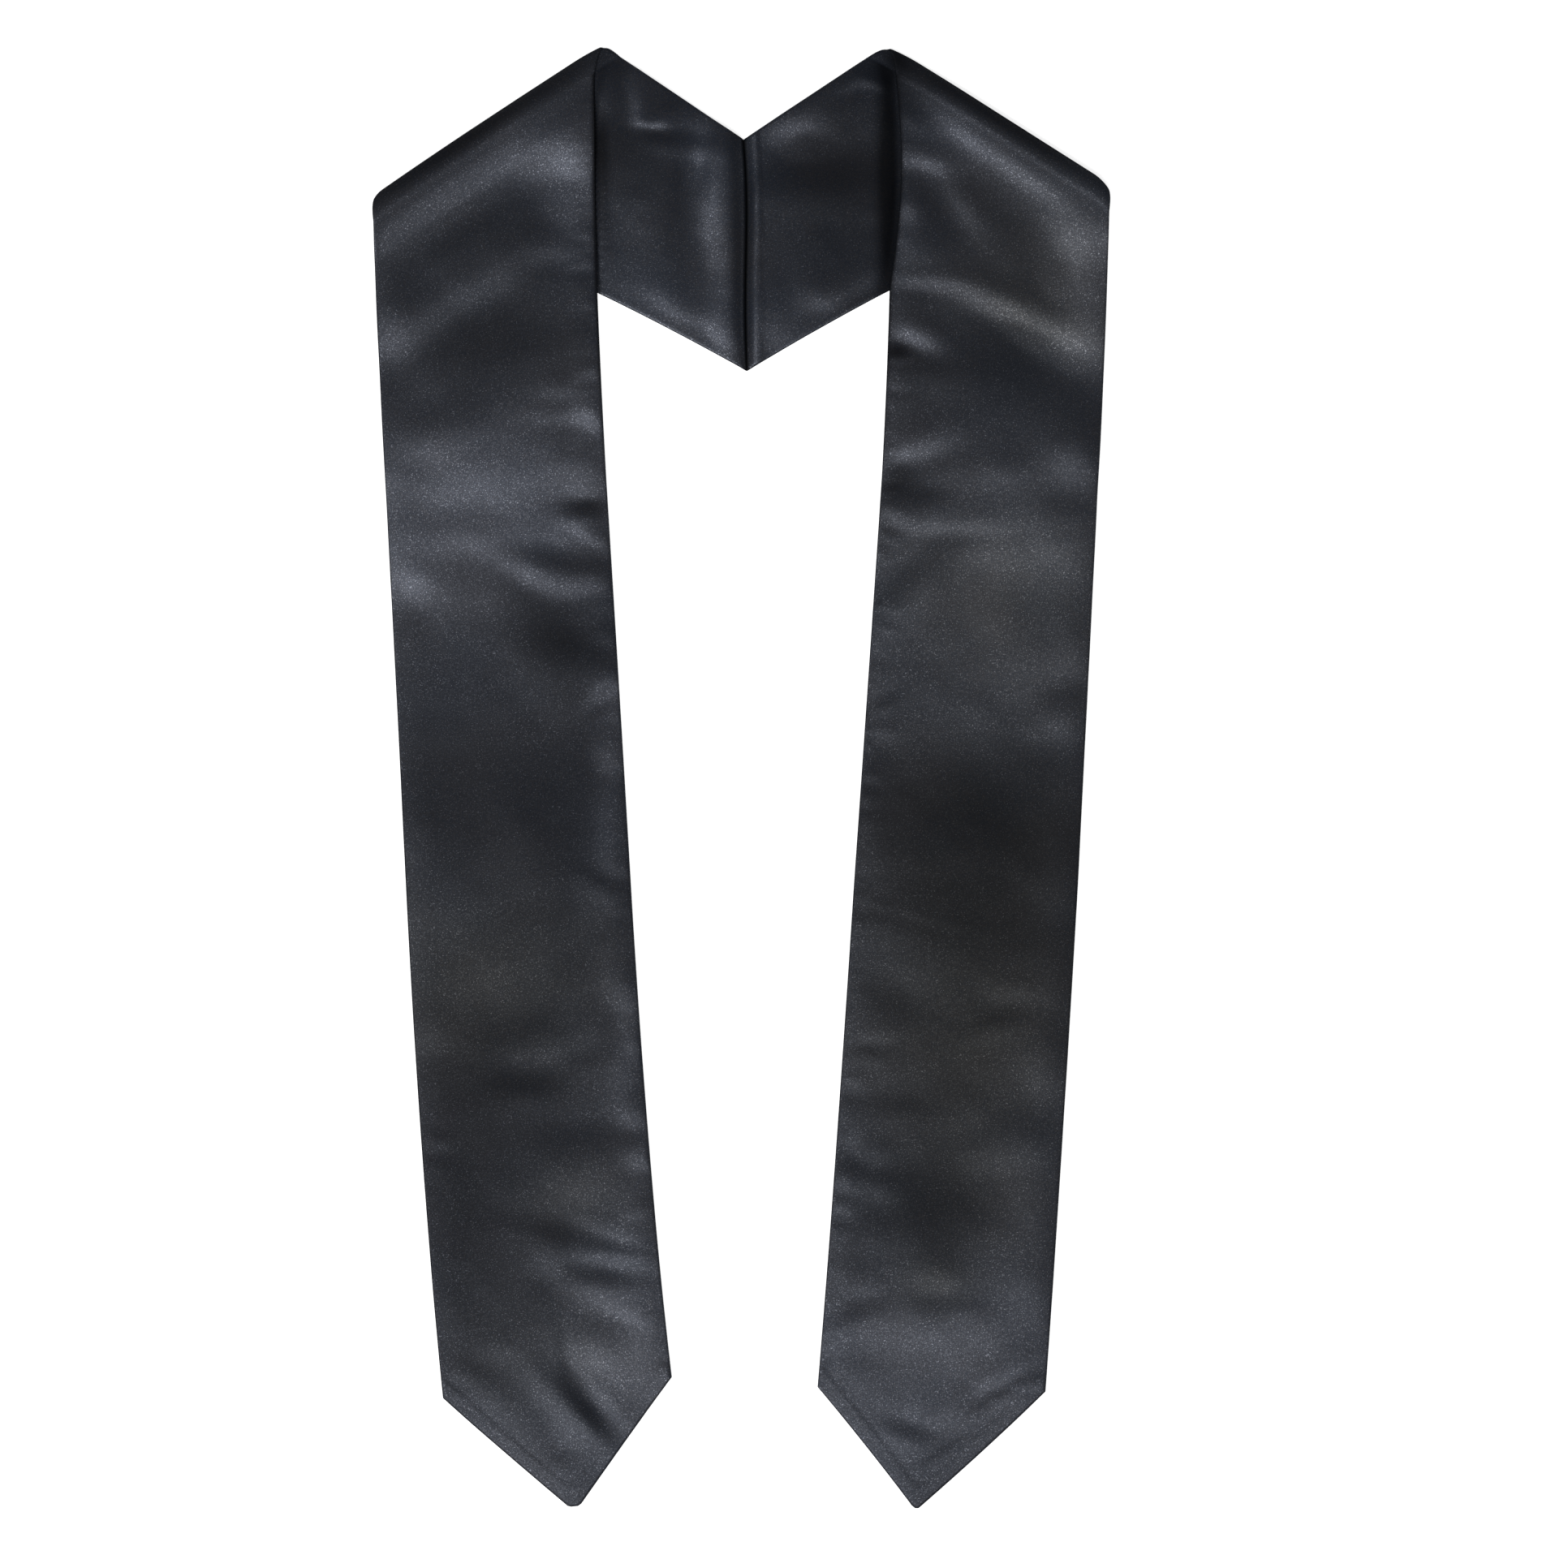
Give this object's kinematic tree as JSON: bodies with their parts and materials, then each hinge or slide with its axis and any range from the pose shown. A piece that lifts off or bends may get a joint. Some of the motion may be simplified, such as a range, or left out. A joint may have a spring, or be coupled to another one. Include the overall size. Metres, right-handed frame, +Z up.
{
  "type": "graduation stole",
  "caption": "Plain black satin graduation stole with pointed ends and a V at the neck, laid flat with its shoulders folded over.",
  "frame": {"origin": "on the surface that the stole lies on, under the middle of its outline", "axes": "+Z up from the surface, +Y from the pointed ends towards the neck, +X from the left panel to the right one, seen from above"},
  "size_m": [0.404, 0.7984, 0.0095],
  "materials": {
    "satin_face": "satin",
    "satin_backing": "satin"
  },
  "bodies": {
    "root": {"left_face": "satin_face", "left_backing": "satin_backing", "right_face": "satin_face", "right_backing": "satin_backing"}
  },
  "joints": []
}
